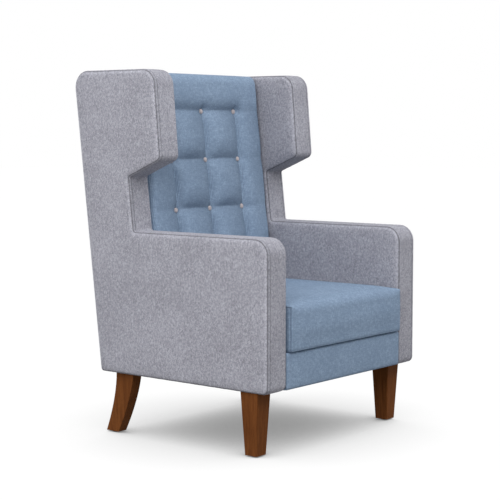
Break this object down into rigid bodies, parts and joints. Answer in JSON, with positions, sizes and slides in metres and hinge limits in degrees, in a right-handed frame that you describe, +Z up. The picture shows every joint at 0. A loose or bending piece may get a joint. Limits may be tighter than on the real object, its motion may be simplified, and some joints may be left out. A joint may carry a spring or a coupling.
{
  "type": "high back lounge chair",
  "caption": "High back lounge chair with padded side panels forming arms and wings, a button-tufted back, a loose seat cushion and tapered timber legs.",
  "frame": {"origin": "on the floor, in the middle of the chair's width and depth", "axes": "+X towards the sitter's left, -Y the way the chair faces, +Z up"},
  "size_m": [0.777, 0.7718, 1.121],
  "materials": {
    "grey_cloth": "melange wool cloth",
    "blue_cloth": "woven wool cloth",
    "deck_cloth": "plain woven lining",
    "dust_cloth": "spunbonded cloth",
    "button_cloth": "wool cloth over a metal shell",
    "foam": "cut polyurethane foam",
    "wadding": "polyester wadding",
    "webbing": "elastic webbing",
    "twine": "waxed upholstery twine",
    "frame_wood": "planed beech",
    "board": "hardboard",
    "walnut": "satin walnut",
    "spring_steel": "oiled spring wire",
    "zinc_steel": "zinc plated",
    "zip_plastic": "nylon coil zip",
    "toggle_plastic": "moulded",
    "glide_plastic": "moulded"
  },
  "bodies": {
    "chair": {"side_frame_right": "frame_wood", "side_frame_left": "frame_wood", "side_outer_foam_right": "foam", "side_inner_foam_right": "foam", "side_outer_foam_left": "foam", "side_inner_foam_left": "foam", "side_outer_panel_right": "grey_cloth", "side_inner_panel_right": "grey_cloth", "side_boxing_right": "grey_cloth", "side_outer_panel_left": "grey_cloth", "side_inner_panel_left": "grey_cloth", "side_boxing_left": "grey_cloth", "side_bolts": "zinc_steel", "side_tee_nuts": "zinc_steel", "seat_front_rail": "frame_wood", "seat_rear_rail": "frame_wood", "seat_side_rails": "frame_wood", "seat_corner_blocks": "frame_wood", "seat_springs": "spring_steel", "spring_clips": "spring_steel", "deck_pad": "wadding", "deck_cover": "deck_cloth", "apron_pad": "foam", "apron_cover": "blue_cloth", "dust_cover": "dust_cloth", "back_stiles": "frame_wood", "back_top_rail": "frame_wood", "back_middle_rail": "frame_wood", "back_lower_rail": "frame_wood", "back_webbing_cross": "webbing", "back_webbing_upright": "webbing", "back_foam": "foam", "back_cushion_cover": "blue_cloth", "back_buttons": "button_cloth", "button_twines": "twine", "twine_toggles": "toggle_plastic", "back_board": "board", "back_outer_cover": "grey_cloth", "front_leg_right": "walnut", "front_leg_left": "walnut", "rear_leg_right": "walnut", "rear_leg_left": "walnut", "leg_plates": "zinc_steel", "leg_plate_screws": "zinc_steel", "leg_bolts": "zinc_steel", "leg_glides": "glide_plastic"},
    "seat_cushion": {"seat_cushion_cover": "blue_cloth", "seat_cushion_foam": "foam", "seat_cushion_zip": "zip_plastic"}
  },
  "joints": [
    {"name": "seat_cushion_lift", "type": "slide", "parent": "chair", "child": "seat_cushion", "axis": [0, -0.7071, 0.7071], "range_m": [0, 0.75]}
  ]
}
